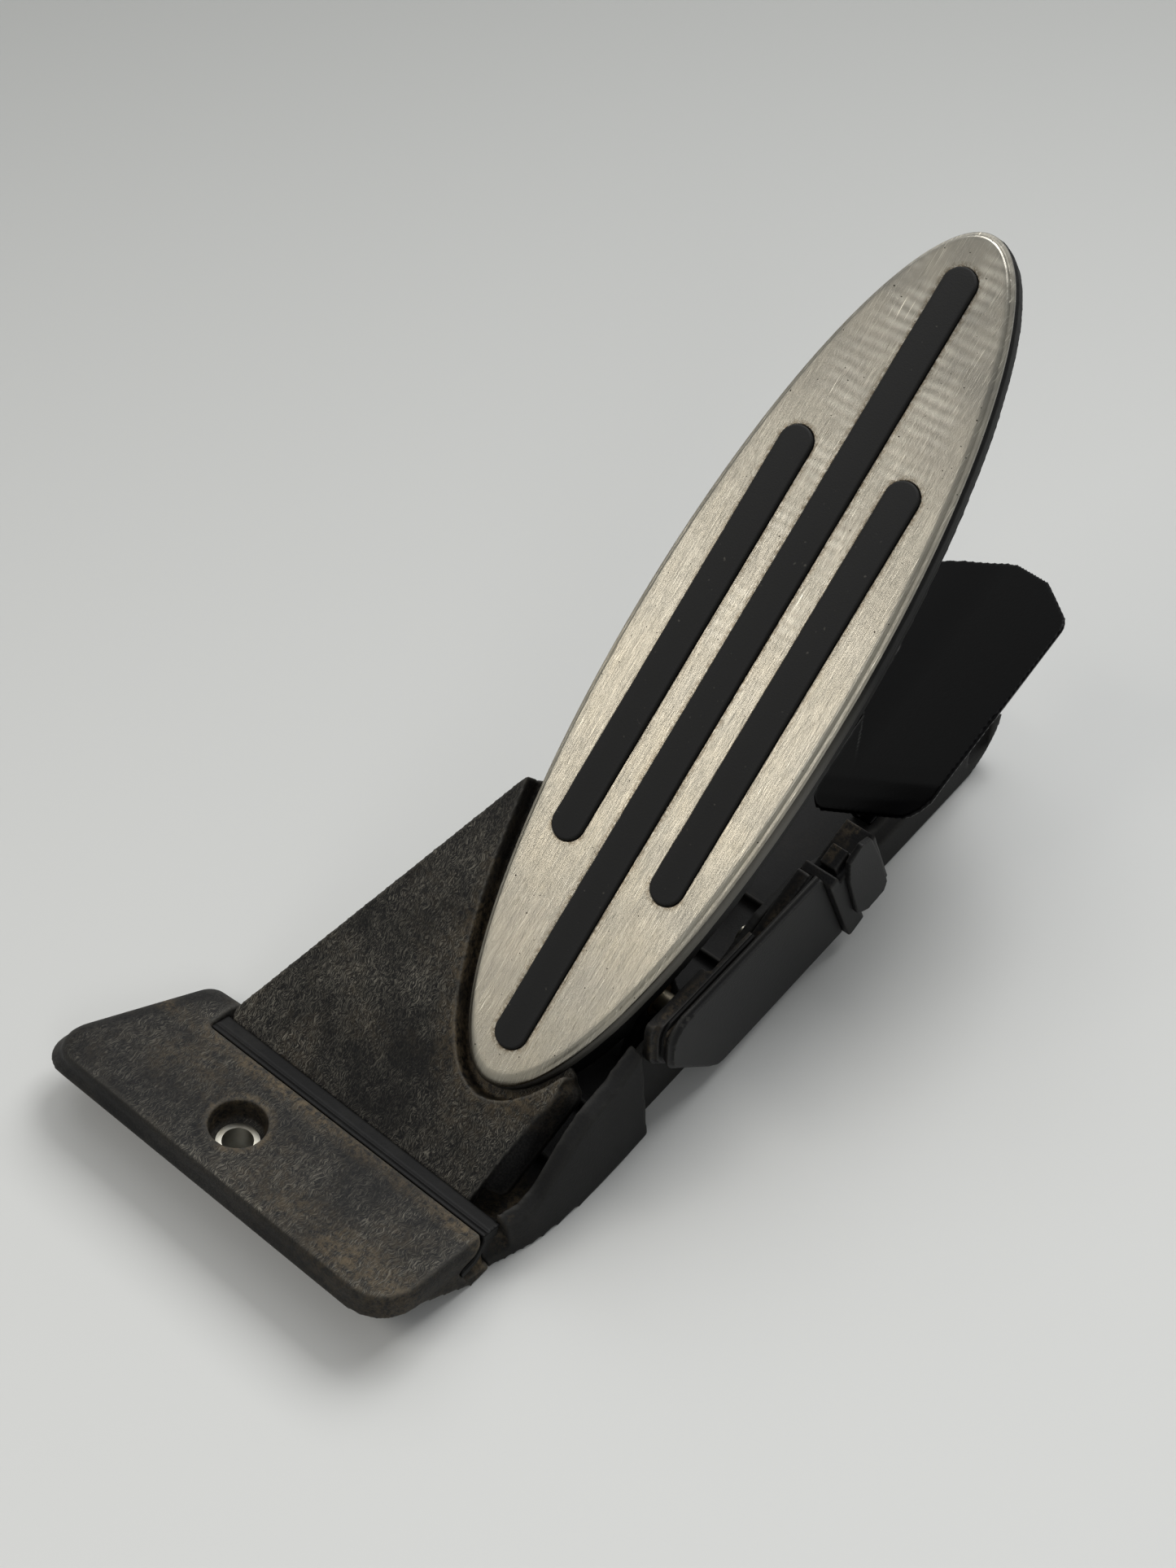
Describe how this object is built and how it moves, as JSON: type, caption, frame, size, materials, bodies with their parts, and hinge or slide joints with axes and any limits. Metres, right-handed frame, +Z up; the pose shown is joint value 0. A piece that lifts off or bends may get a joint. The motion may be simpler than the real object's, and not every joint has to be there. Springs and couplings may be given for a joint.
{
  "type": "accelerator pedal",
  "caption": "Floor-hinged accelerator pedal: oval brushed-metal pad with rubber strips on a moulded treadle, over a frame with lever linkage, return springs and position sensor.",
  "frame": {"origin": "on the frame's rest face, straight below the treadle's hinge line, in line with the middle of the pad", "axes": "+Z up, +Y forward along the frame to its rear mounting holes, +X to the driver's right"},
  "size_m": [0.1451, 0.254, 0.1685],
  "materials": {
    "glass_filled_plastic": "charcoal glass-filled plastic, fine grain",
    "hinge_plastic": "smooth satin black plastic",
    "sensor_plastic": "dull dark grey plastic",
    "guard_plastic": "glossy black plastic",
    "stainless_sheet": "brushed stainless steel, worn",
    "strip_rubber": "matt black rubber",
    "zinc_steel": "zinc-plated steel",
    "spring_steel": "oiled spring steel",
    "bush_bronze": "sintered bronze",
    "contact_metal": "tinned brass",
    "board": "green circuit board"
  },
  "bodies": {
    "base": {"foot_plate": "glass_filled_plastic", "base_frame": "glass_filled_plastic", "floor_sleeve": "zinc_steel", "rear_sleeves": "zinc_steel", "hinge_bar": "hinge_plastic", "side_guard": "guard_plastic", "guard_screws": "zinc_steel", "sensor_housing": "sensor_plastic", "lid_seal": "strip_rubber", "sensor_lid": "sensor_plastic", "circuit_board": "board", "sensor_screws": "zinc_steel", "connector_shroud": "sensor_plastic", "contact_pins": "contact_metal", "latch_plate": "sensor_plastic", "bush_left": "bush_bronze", "bush_right": "bush_bronze", "stop_buffer": "strip_rubber", "rest_buffer": "strip_rubber"},
    "treadle_body": {"treadle": "glass_filled_plastic", "pad_carrier": "sensor_plastic", "rubber_insert": "strip_rubber", "pad_cover": "stainless_sheet", "upper_pin": "zinc_steel"},
    "lever_body": {"lever": "glass_filled_plastic", "lever_shaft": "zinc_steel", "rotor": "sensor_plastic", "lower_pin": "zinc_steel", "spring_left": "spring_steel", "spring_right": "spring_steel"},
    "link_body": {"link_rod": "sensor_plastic"}
  },
  "joints": [
    {"name": "treadle_hinge", "type": "hinge", "parent": "base", "child": "treadle_body", "pos_m": [0, 0, 0.0097], "axis": [-1, 0, 0], "range_deg": [0, 14], "stiffness_Nm_per_rad": 8, "springref_deg": -22.92},
    {"name": "lever_pivot", "type": "hinge", "parent": "base", "child": "lever_body", "pos_m": [-0.003, 0.069, 0.02], "axis": [-1, 0, 0], "range_deg": [0, 24.9]},
    {"name": "link_pivot", "type": "hinge", "parent": "lever_body", "child": "link_body", "pos_m": [-0.003, 0.13812, 0.06947], "axis": [-1, 0, 0], "range_deg": [-25.01, 0]}
  ],
  "couplings": [
    {"joint": "lever_pivot", "follows": "treadle_hinge", "ratio": 1.7788},
    {"joint": "link_pivot", "follows": "treadle_hinge", "ratio": -1.7864}
  ]
}
